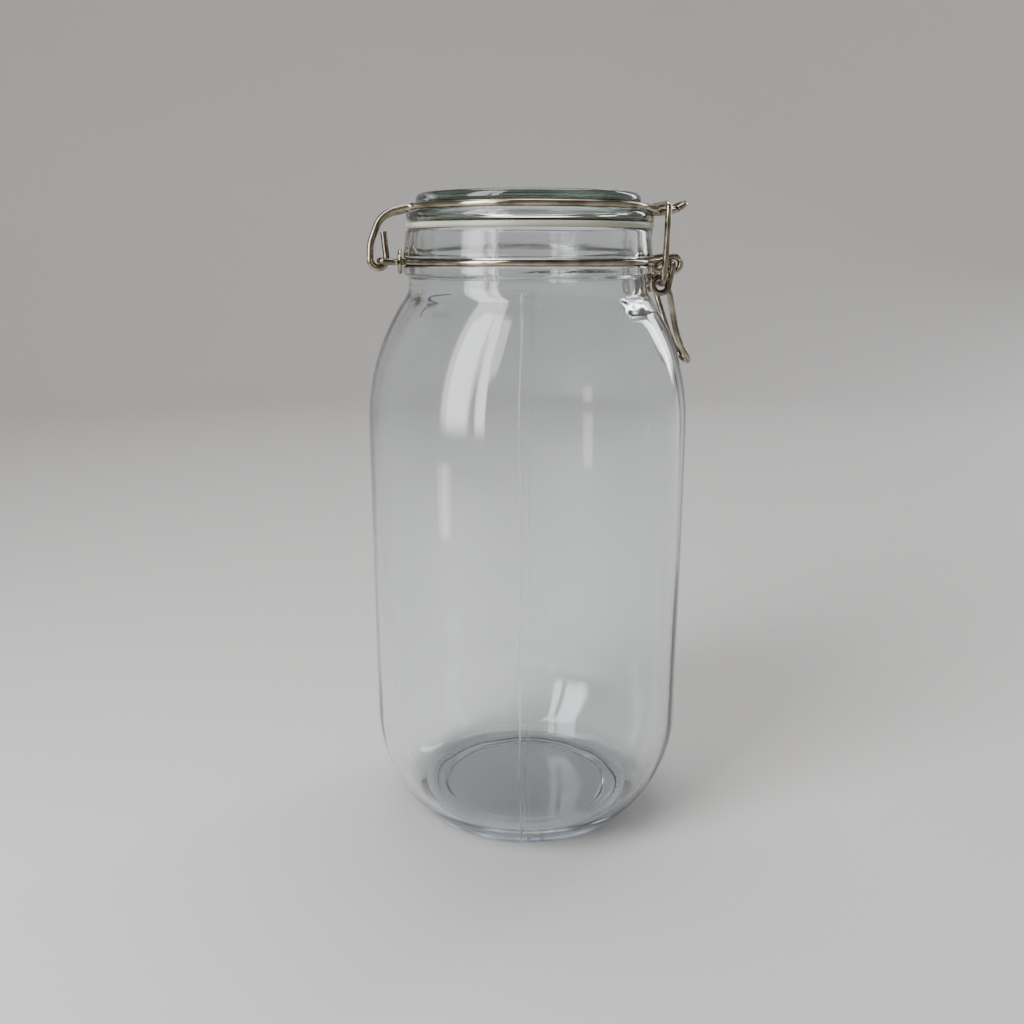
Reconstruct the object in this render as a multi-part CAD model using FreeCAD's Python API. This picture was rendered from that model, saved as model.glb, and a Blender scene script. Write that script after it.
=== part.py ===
import FreeCAD, Part
import math
import os

# Clip-top preserving jar, about two litres, shut and latched.
# Units are millimetres. +Z is up, the origin is the centre of the base, the hinge is at -X
# and the clasp at +X, and the closure is the same on both sides of the plane Y = 0.

V = FreeCAD.Vector

# ---- glass jar ----
BODY_R = 64.4           # outside of the straight body
WALL = 3.6              # glass thickness of body and shoulder
BODY_TOP = 166.0        # where the straight body ends and the shoulder starts
SWEEP_R = 58.0          # long inward sweep between the body and the foot
SWEEP_TURN = 45.0
FOOT_ROUND = 5.0        # outside round at the end of the sweep
FLOOR_ROUND = 14.0      # inside round between wall and floor
FLOOR = 5.6             # glass thickness over the standing ring
PUNT_R = 41.0           # edge of the hollow under the base
PUNT_RISE = 3.2         # how far that hollow rises
NECK_R = 47.2           # outside of the throat between the shoulder and the bead
NECK_FOOT = 221.0       # where the throat ends and the shoulder starts
THROAT_BEND = 8.0      # concave radius between the throat and the shoulder
MOUTH_R = 42.0          # inside of the mouth
BEAD_R = 49.0           # widest part of the finish, above and below the wire groove
BEAD_FOOT = 224.6       # underside of the lower bead
BEAD_ROUND = 1.15
RIM_R = 47.4            # outside of the rim
RIM_Z = 242.2           # sealing face
RIM_ROUND = 1.6
LUG_ANGLES = (-40.0, 140.0)     # middles of the two glass lugs under the bead, round from +X
LUG_SWEEP = 26.0
LUG_TOP = (49.4, 217.4)         # radius and height of the outer face at its upper edge
LUG_FOOT = (52.9, 211.0)        # and at its lower edge

# ---- lid and gasket ----
GASKET = 3.0            # thickness, squeezed
GASKET_R = 48.05
GASKET_HOLE_R = 42.7
GASKET_SHIFT = 0.75     # it sits a little towards the clasp
GASKET_ROUND = 1.0
FLANGE_R = 47.4
FLANGE = 3.8            # thickness of the lower flange
WAIST_R = 43.0          # bottom of the groove that the bail lies in
WAIST = 2.2             # height of that groove
CROWN_R = 43.9          # upper disc
CROWN = 4.3             # thickness of its rounded edge
SPIGOT_R = 41.2         # ring under the lid, inside the mouth
SPIGOT_INNER_R = 36.5
SPIGOT_DEPTH = 4.2
LID_HOLLOW = 4.4        # how far the underside is hollowed above the flange's face

# ---- wires ----
WIRE = 2.4              # bail, band, lever and link
COLLAR_WIRE = 1.8

# band in the groove of the finish, its hinge bar and its eyes
BAND_R = 48.15
BAND_Z = 229.8
GROOVE_R = 1.3
GROOVE_FLARE = 0.2
BAND_GAP_Y = 1.3        # half the distance between the two strands in the collar
BIGHT_ROUND = 1.9       # bends of the hinge loop
COLLAR_LEAD = 5.0       # angle from the hinge line where the band leaves its groove
EYE_LEAD = 17.0         # the same at the eyes
HINGE_X = -58.2
HINGE_Z = 230.3
HINGE_HALF = 17.8
BIGHT_X = -52.7         # where the strands turn along Y, outside the collar
COLLAR_X = -50.4
COLLAR_R = 3.9
EYE_Y = 10.2
EYE = (56.1, 229.0)     # X and Z of the band's eyes
EYE_R = 3.1

# bail: a ring round the lid, two hooks at the hinge and a nose at the clasp
BAIL_R = 47.0
BAIL_ARM_LEAD = 21.0    # angle from the hinge line where the ring runs out into the arms
BAIL_ARM_Y = 14.0
BAIL_HOOK = ((-57.2, 247.4, 9.0), (-61.5, 237.0, 14.0), (-62.1, 227.55, 3.1), (-55.3, 227.55, 3.1))
BAIL_HOOK_TIP = (-56.5, 241.0)
NOSE_LEAD = 24.0        # the same at the nose
NOSE_Y = 6.3
NOSE_DIP = ((50.2, 248.8, 5.0), (56.2, 248.8, 7.0))
NOSE_TIP = (62.6, 252.1)
NOSE_ROUND = 5.6

# lever: pins in the band's eyes, coil eyes for the link, then the handle
PIVOT = (55.7, 229.15)
OUTER_Y = 12.8
INNER_Y = 10.2
PIN_END_Y = 8.2
COIL = (50.9, 221.0)
COIL_R = 3.15
COIL_EXIT = 25.0        # degrees above +X where the strand leaves the coil
HANDLE = ((55.2, 10.6, 217.4, 5.0), (59.3, 6.6, 203.0, 20.0), (62.2, 5.9, 196.2, 12.0))
HANDLE_TIP = (66.2, 190.0)
HANDLE_TIP_Y = 5.4
HANDLE_ROUND = 5.0

# link: pins in the lever's coils, legs, and the bar over the bail's nose
CRANK = (51.1, 221.5)
LINK_Y = 15.35
LINK_NECK = (51.8, 231.5, 12.0)     # where the legs start to close in
BAR_Y = 12.2
LINK_PIN_END_Y = 8.6
BAR_X = 53.2
BAR_PLAY = 1.3          # free height of the bar over the nose
LINK_ROUND = 3.2
PIN_ROUND = 1.9         # where a leg bends into its pin


def polar(radius, degrees):
    a = math.radians(degrees)
    return radius * math.cos(a), radius * math.sin(a)


def profile_face(steps):
    """A face in the plane Y = 0 from (r, z) points; a step of two points is an arc through the first."""
    edges = []
    here = V(steps[0][0], 0, steps[0][1])
    for step in steps[1:]:
        if len(step) == 4:
            end = V(step[2], 0, step[3])
            edges.append(Part.Arc(here, V(step[0], 0, step[1]), end).toShape())
        else:
            end = V(step[0], 0, step[1])
            edges.append(Part.LineSegment(here, end).toShape())
        here = end
    start = V(steps[0][0], 0, steps[0][1])
    if (here - start).Length > 1e-6:
        edges.append(Part.LineSegment(here, start).toShape())
    return Part.Face(Part.Wire(edges))


def turned(steps):
    return profile_face(steps).revolve(V(0, 0, 0), V(0, 0, 1), 360)


def bulge(r, z, radius, start, end):
    """An arc step of the given radius round (r, z), from one angle to another in degrees."""
    mr, mz = polar(radius, (start + end) / 2)
    er, ez = polar(radius, end)
    return r + mr, z + mz, r + er, z + ez


def shoulder(neck_r, throat_bend, body_r):
    """The two tangent arcs of the shoulder, and the angle where they meet."""
    rise = NECK_FOOT - BODY_TOP
    reach = body_r - neck_r
    turn = 2 * math.atan(reach / rise)
    round_r = rise / math.sin(turn) - throat_bend
    return math.degrees(turn), round_r


def wire_path(corners):
    """Straight runs joined by tangent arcs, from (point, bend radius) corners."""
    edges = []
    here = corners[0][0]
    for (before, _), (point, radius), (after, _) in zip(corners, corners[1:], corners[2:]):
        back = (before - point).normalize()
        ahead = (after - point).normalize()
        half_turn = (math.pi - back.getAngle(ahead)) / 2
        reach = radius * math.tan(half_turn)
        start = point + back * reach
        end = point + ahead * reach
        inward = (back + ahead).normalize()
        middle = point + inward * (radius / math.cos(half_turn) - radius)
        if (start - here).Length > 1e-5:
            edges.append(Part.LineSegment(here, start).toShape())
        edges.append(Part.Arc(start, middle, end).toShape())
        here = end
    edges.append(Part.LineSegment(here, corners[-1][0]).toShape())
    return Part.Wire(edges)


def bent_wire(corners, diameter=WIRE):
    path = wire_path(corners)
    start = corners[0][0]
    ring = Part.Wire(Part.makeCircle(diameter / 2, start, corners[1][0] - start))
    return path.makePipeShell([ring], True, False)


def ring_corners(radius, z, first, last, count):
    """Corners that bend a level wire round the jar's axis, from one angle to another."""
    step = (last - first) / count
    far = radius / math.cos(math.radians(step / 2))
    found = []
    for i in range(count):
        x, y = polar(far, first + step * (i + 0.5))
        found.append((V(x, y, z), radius))
    return found


def coil_corners(centre, radius, first, last, count, y_first, y_last):
    """Corners of a coil that lies in planes along Y, moving from one Y to another."""
    step = (last - first) / count
    far = radius / math.cos(math.radians(step / 2))
    found = []
    for i in range(count):
        dx, dz = polar(far, first + step * (i + 0.5))
        y = y_first + (y_last - y_first) * i / (count - 1)
        found.append((V(centre[0] + dx, y, centre[1] + dz), radius * 0.985))
    return found


def run_out(radius, lead, y):
    """How far out a level ring reaches the distance y from the plane Y = 0, once it runs straight
    on from the angle lead."""
    a = math.radians(lead)
    return (radius - y * math.sin(a)) / math.cos(a)


def both_sides(half):
    """A symmetric wire from its half at positive Y, which starts nearest the plane Y = 0."""
    other = [(V(p.x, -p.y, p.z), r) for p, r in reversed(half)]
    return other + half


def sweep_end():
    """Radius of the round foot's centre and height of the sweep's centre."""
    t = math.radians(SWEEP_TURN)
    foot_r = BODY_R - SWEEP_R + (SWEEP_R - FOOT_ROUND) * math.cos(t)
    sweep_z = FOOT_ROUND + (SWEEP_R - FOOT_ROUND) * math.sin(t)
    return foot_r, sweep_z


def jar():
    turn, round_r = shoulder(NECK_R, THROAT_BEND, BODY_R)
    in_mouth = MOUTH_R
    in_body = BODY_R - WALL
    in_turn, in_round = shoulder(in_mouth, THROAT_BEND + WALL, in_body)
    sweep_r = BODY_R - SWEEP_R
    foot_r, sweep_z = sweep_end()
    in_sweep = SWEEP_R - WALL
    floor_turn = math.degrees(math.asin((sweep_z - FLOOR - FLOOR_ROUND) / (in_sweep - FLOOR_ROUND)))
    floor_r = sweep_r + (in_sweep - FLOOR_ROUND) * math.cos(math.radians(floor_turn))
    outline = [
        (PUNT_R - 3.0, 0.35),
        (PUNT_R, 0.0),
        (foot_r, 0.0),
        bulge(foot_r, FOOT_ROUND, FOOT_ROUND, -90, -SWEEP_TURN),
        bulge(sweep_r, sweep_z, SWEEP_R, -SWEEP_TURN, 0),
        (BODY_R, BODY_TOP),
        bulge(BODY_R - round_r, BODY_TOP, round_r, 0, turn),
        bulge(NECK_R + THROAT_BEND, NECK_FOOT, THROAT_BEND, 180 + turn, 180),
        (NECK_R, BEAD_FOOT - 0.6),
        (NECK_R + 0.6, BEAD_FOOT),
        bulge(BEAD_R - BEAD_ROUND, BEAD_FOOT + BEAD_ROUND, BEAD_ROUND, -90, 0),
        (BEAD_R, BAND_Z - GROOVE_R - GROOVE_FLARE),
        (BAND_R, BAND_Z - GROOVE_R),
        (BAND_R - GROOVE_R, BAND_Z, BAND_R, BAND_Z + GROOVE_R),
        (BEAD_R, BAND_Z + GROOVE_R + GROOVE_FLARE),
        (BEAD_R, BAND_Z + GROOVE_R + 1.6),
        (RIM_R, RIM_Z - RIM_ROUND),
        bulge(RIM_R - RIM_ROUND, RIM_Z - RIM_ROUND, RIM_ROUND, 0, 90),
        (in_mouth + 1.2, RIM_Z),
        bulge(in_mouth + 1.2, RIM_Z - 1.2, 1.2, 90, 180),
        (in_mouth, NECK_FOOT),
        bulge(in_mouth + THROAT_BEND + WALL, NECK_FOOT, THROAT_BEND + WALL, 180, 180 + in_turn),
        bulge(in_body - in_round, BODY_TOP, in_round, in_turn, 0),
        (in_body, sweep_z),
        bulge(sweep_r, sweep_z, in_sweep, 0, -floor_turn),
        bulge(floor_r, FLOOR + FLOOR_ROUND, FLOOR_ROUND, -floor_turn, -90),
        (0, FLOOR + PUNT_RISE * 0.6),
        (0, PUNT_RISE),
    ]
    glass = turned(outline)
    top_r, top_z = LUG_TOP
    low_r, low_z = LUG_FOOT
    lug = profile_face([
        (NECK_R - 1.0, top_z + 0.8),
        (top_r - 0.4, top_z + 0.5),
        (top_r + 0.4, top_z + 0.1, top_r + 0.6, top_z - 1.0),
        (low_r - 0.5, low_z + 1.3),
        (low_r, low_z, low_r - 0.9, low_z - 0.5),
        (NECK_R - 1.0, low_z + 3.0),
    ])
    for angle in LUG_ANGLES:
        block = lug.revolve(V(0, 0, 0), V(0, 0, 1), LUG_SWEEP)
        block.rotate(V(0, 0, 0), V(0, 0, 1), angle - LUG_SWEEP / 2)
        glass = glass.fuse(block)
    return glass.removeSplitter().Solids[0]


def lid():
    base = RIM_Z + GASKET
    flange_top = base + FLANGE
    crown_foot = flange_top + WAIST
    crown_top = crown_foot + CROWN
    f = FLANGE / 2
    c = CROWN / 2
    outline = [
        (0, crown_top - 0.5),
        (CROWN_R - c - 8.0, crown_top - 0.2),
        (CROWN_R - c, crown_top),
        bulge(CROWN_R - c, crown_foot + c, c, 90, -75),
        (WAIST_R, crown_foot + 0.35),
        (WAIST_R, flange_top + 0.4),
        (FLANGE_R - f, flange_top),
        bulge(FLANGE_R - f, base + f, f, 90, -90),
        (SPIGOT_R + 0.3, base),
        (SPIGOT_R, base - SPIGOT_DEPTH + 1.2),
        bulge(SPIGOT_R - 1.2, base - SPIGOT_DEPTH + 1.2, 1.2, 0, -90),
        (SPIGOT_INNER_R + 1.2, base - SPIGOT_DEPTH),
        bulge(SPIGOT_INNER_R + 1.2, base - SPIGOT_DEPTH + 1.2, 1.2, -90, -180),
        (SPIGOT_INNER_R, base),
        bulge(SPIGOT_INNER_R - LID_HOLLOW, base, LID_HOLLOW, 0, 90),
        (0, base + LID_HOLLOW + 0.5),
    ]
    return turned(outline)


def gasket():
    base = RIM_Z
    r = GASKET_ROUND
    outline = [
        (GASKET_HOLE_R, base),
        (GASKET_R - r, base),
        bulge(GASKET_R - r, base + r, r, -90, 0),
        (GASKET_R, base + GASKET - r),
        bulge(GASKET_R - r, base + GASKET - r, r, 0, 90),
        (GASKET_HOLE_R, base + GASKET),
    ]
    ring = turned(outline)
    ring.translate(V(GASKET_SHIFT, 0, 0))
    return ring


def bail():
    z = RIM_Z + GASKET + FLANGE + WIRE / 2 + 0.05
    half = [(V(NOSE_TIP[0], NOSE_Y, NOSE_TIP[1]), NOSE_ROUND)]
    half += [(V(x, NOSE_Y, h), r) for x, h, r in reversed(NOSE_DIP)]
    half.append((V(run_out(BAIL_R, NOSE_LEAD, NOSE_Y), NOSE_Y, z), 4.0))
    half += ring_corners(BAIL_R, z, NOSE_LEAD, 180 - BAIL_ARM_LEAD, 2)
    half.append((V(-run_out(BAIL_R, BAIL_ARM_LEAD, BAIL_ARM_Y), BAIL_ARM_Y, z), 3.5))
    half += [(V(hx, BAIL_ARM_Y, hz), r) for hx, hz, r in BAIL_HOOK]
    half.append((V(BAIL_HOOK_TIP[0], BAIL_ARM_Y, BAIL_HOOK_TIP[1]), 0))
    return bent_wire(both_sides(half))


def neck_band():
    half = [
        (V(HINGE_X, HINGE_HALF, HINGE_Z), BIGHT_ROUND),
        (V(BIGHT_X, HINGE_HALF, BAND_Z), BIGHT_ROUND),
        (V(BIGHT_X, BAND_GAP_Y, BAND_Z), BIGHT_ROUND),
        (V(-run_out(BAND_R, COLLAR_LEAD, BAND_GAP_Y), BAND_GAP_Y, BAND_Z), BIGHT_ROUND),
    ]
    half += ring_corners(BAND_R, BAND_Z, 180 - COLLAR_LEAD, EYE_LEAD, 2)
    half.append((V(run_out(BAND_R, EYE_LEAD, EYE_Y), EYE_Y, BAND_Z), 2.2))
    half.append((V(BEAD_R + 1.7, EYE_Y, BAND_Z), 1.6))
    half += coil_corners(EYE, EYE_R, 104, -186, 4, EYE_Y, EYE_Y)
    dx, dz = polar(EYE_R, -186)
    ex, ez = polar(0.4, -186 - 90)
    half.append((V(EYE[0] + dx + ex, EYE_Y, EYE[1] + dz + ez), 0))
    return bent_wire(both_sides(half))


def collar():
    return Part.makeTorus(COLLAR_R, COLLAR_WIRE / 2, V(COLLAR_X, 0, BAND_Z), V(1, 0, 0))


def lever():
    away = math.atan2(PIVOT[1] - COIL[1], PIVOT[0] - COIL[0])
    gap = math.dist(PIVOT, COIL)
    enter = math.degrees(away - math.acos(COIL_R / gap))
    half = [(V(HANDLE_TIP[0], HANDLE_TIP_Y, HANDLE_TIP[1]), HANDLE_ROUND)]
    half += [(V(x, y, z), r) for x, y, z, r in reversed(HANDLE)]
    half += coil_corners(COIL, COIL_R, COIL_EXIT, enter + 360, 5, INNER_Y, OUTER_Y)
    half += [
        (V(PIVOT[0], OUTER_Y, PIVOT[1]), PIN_ROUND),
        (V(PIVOT[0], PIN_END_Y, PIVOT[1]), 0),
    ]
    return bent_wire(both_sides(half))


def link():
    bar_z = NOSE_DIP[0][1] + WIRE + BAR_PLAY
    neck_x, neck_z, neck_bend = LINK_NECK
    half = [
        (V(BAR_X, BAR_Y, bar_z), LINK_ROUND),
        (V(neck_x, LINK_Y, neck_z), neck_bend),
        (V(CRANK[0], LINK_Y, CRANK[1]), PIN_ROUND),
        (V(CRANK[0], LINK_PIN_END_Y, CRANK[1]), 0),
    ]
    return bent_wire(both_sides(half))


NODES = {
    "jar": jar,
    "lid": lid,
    "gasket": gasket,
    "bail": bail,
    "neck_band": neck_band,
    "collar": collar,
    "lever": lever,
    "link": link,
}

os.makedirs("parts", exist_ok=True)
for name, make in NODES.items():
    shape = make()
    print(name, shape.ShapeType, shape.isValid(), round(shape.Volume), len(shape.Faces))
    shape.exportStep("parts/" + name + ".step")
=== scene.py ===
import math

import bpy
import numpy as np
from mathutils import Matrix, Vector, noise


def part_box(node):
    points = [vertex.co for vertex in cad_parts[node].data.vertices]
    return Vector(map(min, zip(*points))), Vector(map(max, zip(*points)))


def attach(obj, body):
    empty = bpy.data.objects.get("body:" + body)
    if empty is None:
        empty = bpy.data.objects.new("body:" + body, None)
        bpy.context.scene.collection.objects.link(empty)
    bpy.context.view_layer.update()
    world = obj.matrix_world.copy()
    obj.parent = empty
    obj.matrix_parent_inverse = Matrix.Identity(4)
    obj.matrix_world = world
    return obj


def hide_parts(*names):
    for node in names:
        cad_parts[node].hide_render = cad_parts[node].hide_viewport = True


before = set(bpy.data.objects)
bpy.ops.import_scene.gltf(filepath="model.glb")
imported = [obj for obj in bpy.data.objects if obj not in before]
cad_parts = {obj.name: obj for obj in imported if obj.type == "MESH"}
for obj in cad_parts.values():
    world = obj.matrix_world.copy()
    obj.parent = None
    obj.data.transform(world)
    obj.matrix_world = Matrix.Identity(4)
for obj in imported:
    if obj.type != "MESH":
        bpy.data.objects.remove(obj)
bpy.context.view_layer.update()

# Clip-top preserving jar, shut and latched. Metres, +Z up, hinge at -X, clasp at +X.
MM = 0.001

# ---- sizes read from the frame ----
jar_low, jar_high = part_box("jar")
lid_low, lid_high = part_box("lid")
gasket_low, gasket_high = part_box("gasket")
BODY_R = (jar_high[1] - jar_low[1]) / 2  # outside of the straight body
RIM_Z = jar_high[2]               # sealing face
LID_TOP = lid_high[2]
FLANGE_R = (lid_high[1] - lid_low[1]) / 2 + 0.3 * MM  # a little proud of the ring under it
GASKET = gasket_high[2] - gasket_low[2]  # thickness before the lid presses it
GASKET_R = (gasket_high[1] - gasket_low[1]) / 2
GASKET_SHIFT = (gasket_high[0] + gasket_low[0]) / 2 - 0.3 * MM  # it sits a little towards the clasp

# ---- glass jar ----
WALL = 3.6 * MM                   # glass thickness of body and shoulder
BODY_TOP = 166.0 * MM             # where the straight body ends
SWEEP_R = 58.0 * MM               # long inward sweep between body and foot
SWEEP_TURN = 45.0                 # degrees of it
FOOT_ROUND = 5.0 * MM             # outside round at the end of the sweep
FLOOR_ROUND = 14.0 * MM           # inside round between wall and floor
FLOOR = 5.6 * MM                  # glass thickness over the standing ring
STAND_R = 41.0 * MM               # inner edge of the ring that the jar stands on
PUNT_RISE = 3.2 * MM              # height of the hollow under the base
PUNT_STEP = 1.7 * MM              # how much of it is a dome
NECK_R = 47.2 * MM                # outside of the throat
NECK_FOOT = 221.0 * MM            # where the throat meets the shoulder
THROAT_BEND = 8.0 * MM            # concave round between them
MOUTH_R = 42.0 * MM               # inside of the mouth
BEAD_R = 49.0 * MM                # widest part of the finish
BEAD_FOOT = 224.6 * MM            # underside of the lower bead
BEAD_ROUND = 1.15 * MM
RIM_R = 48.0 * MM                 # outside of the rim
RIM_ROUND = 1.6 * MM
GROOVE_R = 1.3 * MM               # groove that the band lies in
GROOVE_FLARE = 0.2 * MM
LUG_ANGLES = (-40.0, 140.0)       # middles of the two lugs, round from +X
LUG_HALF = 13.0                   # degrees to each side
LUG_TOP = (49.4 * MM, 217.4 * MM)  # radius and height of the face's upper edge
LUG_FOOT = (52.9 * MM, 211.0 * MM)  # and of its lower edge
LUG_SINK = 0.15 * MM
BODY_SEAMS = (-100.0, 80.0)       # where the body's mould parts, round from +X
FINISH_SEAMS = (-111.0, 69.0)     # and where the finish's mould parts
SEAM_HEIGHT = 0.2 * MM
SEAM_HALF = 0.34 * MM
KNURLS = 60                       # notches round the standing ring
KNURL_DEPTH = 0.22 * MM
LIP_ROUND = 1.2 * MM              # inner edge of the mouth

# The hollow under the base ends in a step, then comes the ring that the jar stands on:
# distance outwards, and down from the hollow's edge or up from the ground.
PUNT_EDGE = STAND_R - 5.5 * MM
PUNT_EDGE_STEP = ((0.3 * MM, 0.2 * MM), (0.8 * MM, 0.9 * MM), (1.3 * MM, 1.1 * MM))
STAND_EDGE = (
    (-0.9 * MM, 0.6 * MM),
    (-0.4 * MM, 0.45 * MM),
    (-0.1 * MM, 0.15 * MM),
    (0.2 * MM, 0.0),
    (1.2 * MM, 0.0),
)

# Ripple of the glass: depth, size of its circle and pitch in the noise, offset and seed.
OUTSIDE_RIPPLE = ((0.05 * MM, 5.2, 22.0, 0.0, 1),)
INSIDE_RIPPLE = ((0.30 * MM, 2.6, 9.0, 0.0, 2), (0.10 * MM, 7.8, 12.0, 0.0, 3))
FINISH_RIPPLE = ((0.06 * MM, 1.3, 400.0, -0.4, 6),)
THROAT_RIPPLE = ((0.16 * MM, 0.9, 260.0, 0.0, 5),)

# Spacing of the jar's points: the usual gap, and a finer one between two heights.
LONG_GAP = 3.2 * MM
OUTSIDE_FINE = (0.7 * MM, 206 * MM, 242 * MM)
INSIDE_FINE = (1.2 * MM, 212 * MM, 237 * MM)
JAR_MERIDIANS = 264
SEAM_ANGLE_STEP = 0.11
SEAM_ANGLE_STEPS = 6

# ---- lid and gasket ----
FLANGE = 3.8 * MM                 # thickness of the lower disc
WAIST = 1.6 * MM                  # height of the groove that the bail lies in
WAIST_R = 43.0 * MM               # bottom of that groove
CROWN_R = 43.9 * MM               # upper disc
CROWN = 4.9 * MM                  # thickness of its rounded edge
SPIGOT_R = 41.2 * MM              # ring under the lid, inside the mouth
SPIGOT_INNER_R = 36.5 * MM
SPIGOT_DEPTH = 4.2 * MM
LID_HOLLOW = 4.4 * MM             # how far the underside is hollowed
GASKET_HOLE_R = 42.7 * MM
SPIGOT_ROUND = 1.2 * MM
LID_WAVE = 0.012 * MM             # fine waves of the pressed glass
LID_WAVE_PITCH = 90.0             # waves in each metre, about
LID_MERIDIANS = 240
SQUEEZE = 0.8 * MM                # how far the lid presses the ring
GASKET_ROUND = 1.0 * MM
GASKET_INNER_ROUND = 0.5 * MM
GASKET_BULGE = 0.2 * MM           # how far the ring bulges out
GASKET_LIP = 0.5 * MM             # and how much more at the clasp
GASKET_MERIDIANS = 180

# ---- wires ----
# BAIL_HOOK and NOSE_DIP list x, z and bend in millimetres, and HANDLE lists x, y, z and bend.
WIRE = 2.4 * MM                   # bail, band, lever and link
COLLAR_WIRE = 1.8 * MM
WIRE_SIDES = 20
CUT_END = 0.35 * MM               # length of a dressed end
CUT_END_THICKNESS = 0.74          # its thickness there, as a share
BAND_R = 48.15 * MM
BAND_Z = 229.8 * MM
BAND_GAP_Y = 1.3 * MM             # half the distance of the strands in the collar
BIGHT_ROUND = 1.9 * MM            # bends of the hinge loop
COLLAR_LEAD = 5.0                 # angle from the hinge where the band leaves its groove
EYE_LEAD = 17.0                   # the same at the eyes
HINGE_X = -58.2 * MM
HINGE_Z = 230.3 * MM
HINGE_HALF = 17.8 * MM
BIGHT_X = -52.7 * MM
COLLAR_X = -50.4 * MM
COLLAR_R = 3.9 * MM
COLLAR_STEPS = 24
EYE_Y = 10.2 * MM
EYE = (56.1 * MM, 229.0 * MM)     # X and Z of the band's eyes
EYE_R = 3.1 * MM
EYE_START = 104                   # angles at which an eye's turn starts
EYE_END = -186                    # and ends
BAIL_R = 47.0 * MM                # ring of the bail round the lid
BAIL_ARM_LEAD = 21.0              # angle from the hinge where the ring runs out
BAIL_ARM_Y = 14.0 * MM
BAIL_HOOK = ((-57.2, 247.4, 9.0), (-61.5, 237.0, 14.0), (-62.1, 227.55, 3.1), (-55.3, 227.55, 3.1))
BAIL_HOOK_TIP = (-56.5 * MM, 241.0 * MM)
NOSE_LEAD = 24.0                  # the same at the nose
NOSE_Y = 6.3 * MM
NOSE_DIP = ((50.2, 248.8, 5.0), (56.2, 248.8, 7.0))
NOSE_TIP = (62.6 * MM, 252.1 * MM)
NOSE_ROUND = 5.6 * MM
PIVOT = (55.7 * MM, 229.15 * MM)  # X and Z of the lever's pins
OUTER_Y = 12.8 * MM               # outer side of the lever's coils
INNER_Y = 10.2 * MM               # inner side
PIN_END_Y = 8.2 * MM
COIL = (50.9 * MM, 221.0 * MM)    # X and Z of the lever's coils
COIL_R = 3.15 * MM
COIL_EXIT = 25.0                  # angle at which the handle leaves a coil
HANDLE = ((55.2, 10.6, 217.4, 5.0), (59.3, 6.6, 203.0, 20.0), (62.2, 5.9, 196.2, 12.0))
HANDLE_TIP = (66.2 * MM, 190.0 * MM)
HANDLE_TIP_Y = 5.4 * MM
HANDLE_ROUND = 5.0 * MM
CRANK = (51.1 * MM, 221.5 * MM)   # X and Z of the link's pins
LINK_Y = 15.35 * MM
LINK_NECK = (51.8 * MM, 231.5 * MM)  # where the link's legs start to close in
LINK_NECK_BEND = 12.0 * MM
BAR_Y = 12.2 * MM
LINK_PIN_END_Y = 8.6 * MM
BAR_X = 53.2 * MM
BAR_PLAY = 0.5 * MM               # free height of the bar over the nose
LINK_ROUND = 3.2 * MM
PIN_ROUND = 1.9 * MM

# ---- finishes ----
GLASS_IOR = 1.51
DULL_ROUGHNESS = 0.45             # roughness where the glass is dullest
FINISH_HAZE = 0.24                # share of that on the finish
LUG_HAZE = 0.3                    # and on the lugs
JAR_TINT = (0.97, 0.985, 0.99, 1)
JAR_INNER_TINT = (0.56, 0.645, 0.77, 1)
LID_TINT = (0.95, 0.97, 0.96, 1)
LID_INNER_TINT = (0.60, 0.675, 0.62, 1)
RUBBER_DARK = (0.37, 0.36, 0.285, 1)
RUBBER_LIGHT = (0.47, 0.46, 0.37, 1)
STEEL_DARK = (0.15, 0.125, 0.088, 1)
STEEL_LIGHT = (0.42, 0.365, 0.27, 1)
FLOOR_TONE = (0.60, 0.59, 0.58, 1)

# ---- setting, in metres ----
FLOOR_REACH = 1.9
FLOOR_BEND = 0.6
FLOOR_WALL = 1.45
FLOOR_SIDES = 96
ROOM_TONE = (0.78, 0.80, 0.84, 1)
ROOM_LIGHT = 0.16
EDGE_FADE = 0.16                  # share of a light's side over which it fades
# name, azimuth, distance, height, width, tall, watts, colour, height it is aimed at
LIGHTS = (
    ("window_wide", -57.5, 0.62, 0.66, 0.30, 1.24, 13, (0.97, 0.98, 1.0), 0.5),
    ("window_narrow", -39.5, 0.62, 0.66, 0.10, 1.24, 4, (1.0, 0.98, 0.95), 0.5),
    ("low_window", -63, 0.34, 0.077, 0.055, 0.056, 0.035, (1.0, 0.96, 0.90), 0.077),
    ("fill", 127, 1.5, 0.8, 0.3, 1.2, 9, (0.97, 0.98, 1.0), 0.3),
    ("top", 170, 0.5, 1.7, 1.5, 1.2, 26, (1.0, 0.99, 0.97), 0.1),
)

# ---- camera ----
VIEW_AZIMUTH = -7.0
VIEW_DOWN = 14.3
VIEW_DISTANCE = 418.0 * MM
VIEW_HEIGHT = 234.0 * MM
VIEW_SIDE = 6.3 * MM              # how far the camera stands aside
VIEW_LENS = 36.04


def polar(radius, degrees):
    """The point at a radius and an angle."""
    a = math.radians(degrees)
    return radius * math.cos(a), radius * math.sin(a)


# ---------- outlines ----------

def arc(r, z, radius, start, end, step=7.0):
    """Points of an arc round (r, z), from one angle to another in degrees."""
    count = max(3, int(abs(end - start) / step) + 1)
    found = []
    for i in range(count + 1):
        dr, dz = polar(radius, start + (end - start) * i / count)
        found.append((r + dr, z + dz))
    return found


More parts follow.
